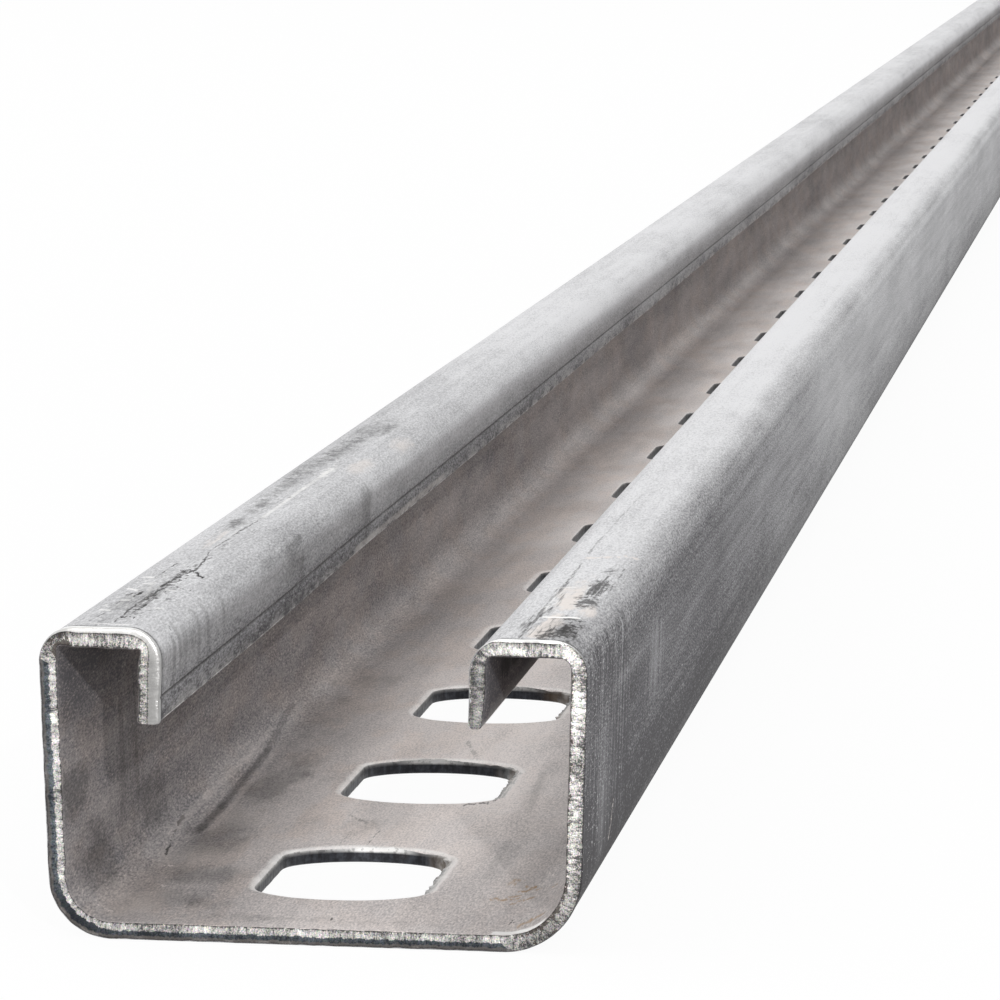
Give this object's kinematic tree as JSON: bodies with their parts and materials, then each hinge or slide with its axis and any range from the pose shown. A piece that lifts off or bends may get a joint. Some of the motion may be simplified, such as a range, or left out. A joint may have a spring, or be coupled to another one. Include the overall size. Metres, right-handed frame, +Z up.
{
  "type": "slotted strut channel",
  "caption": "Roll-formed galvanised steel C-channel with down-turned lips and a row of long slots through its web, for bolting up frames, pipes and cable supports.",
  "frame": {"origin": "middle of the channel's length and width, on the underside of the web", "axes": "+Y along the channel, away from the near saw-cut end; +Z up, out of the open side; +X across it to the right"},
  "size_m": [0.041, 3, 0.0233],
  "materials": {
    "galvanised_steel": "mill-galvanised zinc skin, dull mottled grey with rolling streaks, scuffs and saw-cut edges"
  },
  "bodies": {
    "root": {"strut_channel": "galvanised_steel"}
  },
  "joints": []
}
